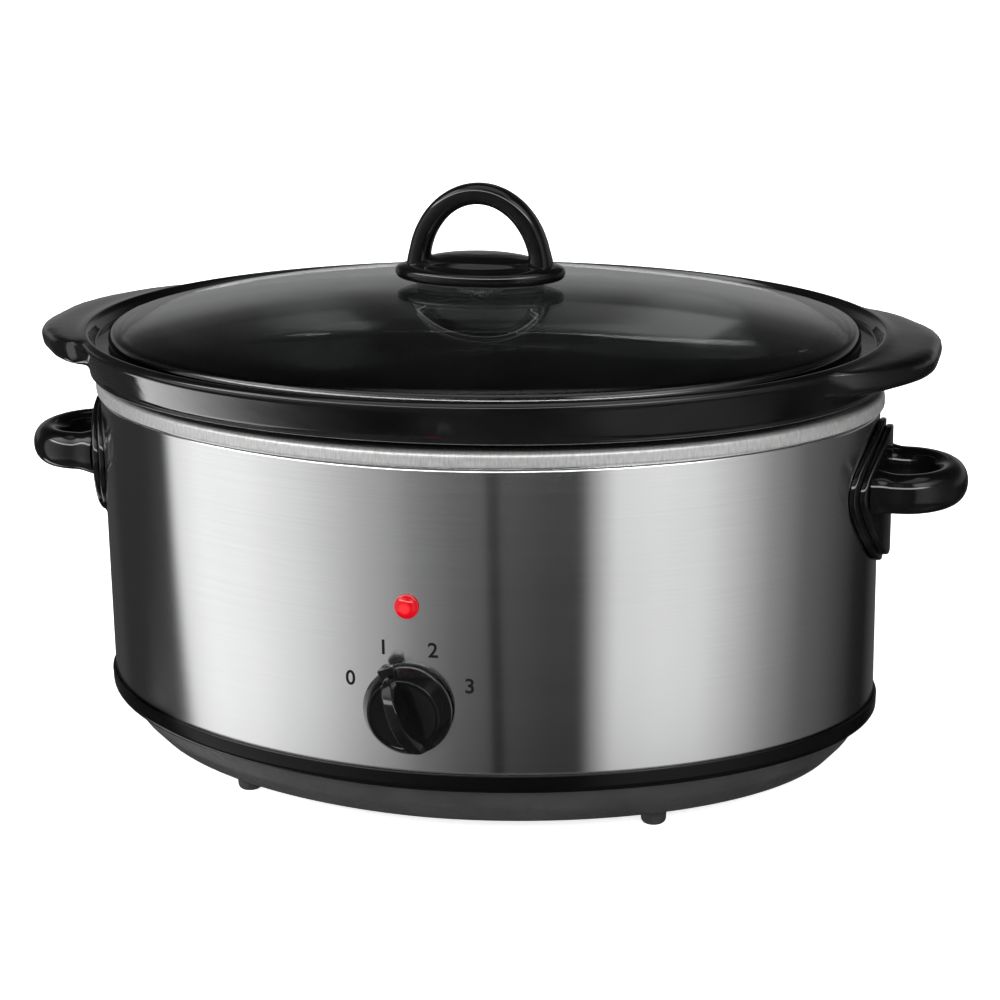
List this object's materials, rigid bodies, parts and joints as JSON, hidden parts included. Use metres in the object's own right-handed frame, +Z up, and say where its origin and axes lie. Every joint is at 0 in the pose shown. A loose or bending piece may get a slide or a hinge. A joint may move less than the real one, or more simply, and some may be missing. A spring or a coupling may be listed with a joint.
{
  "type": "slow cooker",
  "caption": "Oval slow cooker: brushed steel heating base with a rotary knob and side handles, a lift-out black crock with lugs, and a domed glass lid with an arch handle.",
  "frame": {"origin": "on the surface that the feet stand on, under the middle of the oval body", "axes": "+Z up, -Y towards the front with the knob, +X to the right seen from the front, along the long axis of the oval"},
  "size_m": [0.414, 0.286, 0.2528],
  "materials": {
    "brushed_stainless": "horizontally brushed stainless steel sheet",
    "speckled_silver": "silver enamel with a fine speckle",
    "aluminised_steel": "dull aluminised steel",
    "plated_steel": "zinc plated",
    "black_glaze": "glossy black glaze on stoneware",
    "clear_glass": "clear tempered glass with a polished edge",
    "gloss_black_plastic": "moulded heat-resistant plastic, glossy",
    "satin_black_plastic": "moulded plastic, satin",
    "switch_plastic": "moulded plastic",
    "black_rubber": "soft rubber",
    "clear_silicone": "translucent silicone",
    "red_lens": "glossy translucent red",
    "white_ceramic": "unglazed",
    "glass_fibre": "woven glass fibre",
    "mica_tape": "heater band under fibre tape",
    "wire_sleeve": "silicone-coated sleeve"
  },
  "bodies": {
    "housing": {"steel_wrap": "brushed_stainless", "rim_band": "speckled_silver", "heating_bowl": "aluminised_steel", "heater_band": "mica_tape", "insulation_blanket": "glass_fibre", "heat_shield": "aluminised_steel", "base_pan": "satin_black_plastic", "centre_stud": "plated_steel", "centre_washer": "plated_steel", "centre_nut": "plated_steel", "foot_front_left": "black_rubber", "foot_front_right": "black_rubber", "foot_rear_left": "black_rubber", "foot_rear_right": "black_rubber", "handle_spacer_right": "gloss_black_plastic", "side_handle_right": "gloss_black_plastic", "handle_bracket_right": "plated_steel", "handle_screw_right_lower": "plated_steel", "handle_screw_right_upper": "plated_steel", "handle_spacer_left": "gloss_black_plastic", "side_handle_left": "gloss_black_plastic", "handle_bracket_left": "plated_steel", "handle_screw_left_lower": "plated_steel", "handle_screw_left_upper": "plated_steel", "rotary_switch": "switch_plastic", "switch_nut": "plated_steel", "indicator_lens": "red_lens", "indicator_lamp": "white_ceramic", "thermal_fuse": "white_ceramic", "fuse_clip": "plated_steel", "terminal_block": "white_ceramic", "cord_gland": "satin_black_plastic", "wire_block_to_fuse": "wire_sleeve", "wire_block_to_switch": "wire_sleeve", "wire_switch_to_lamp": "wire_sleeve", "wire_fuse_to_heater": "wire_sleeve"},
    "knob": {"control_knob": "gloss_black_plastic", "switch_shaft": "plated_steel"},
    "crock": {"crock": "black_glaze"},
    "lid": {"lid_glass": "clear_glass", "lid_handle": "gloss_black_plastic", "lid_handle_seal": "clear_silicone", "lid_screw_washer": "plated_steel", "lid_screw": "plated_steel"}
  },
  "joints": [
    {"name": "knob_turn", "type": "hinge", "parent": "housing", "child": "knob", "pos_m": [0, -0.13, 0.0633], "axis": [0, 1, 0], "range_deg": [-45, 90]},
    {"name": "crock_lift", "type": "slide", "parent": "housing", "child": "crock", "axis": [0, 0, 1], "range_m": [0, 0.14]},
    {"name": "lid_lift", "type": "slide", "parent": "crock", "child": "lid", "axis": [0, 0, 1], "range_m": [0, 0.1]}
  ]
}
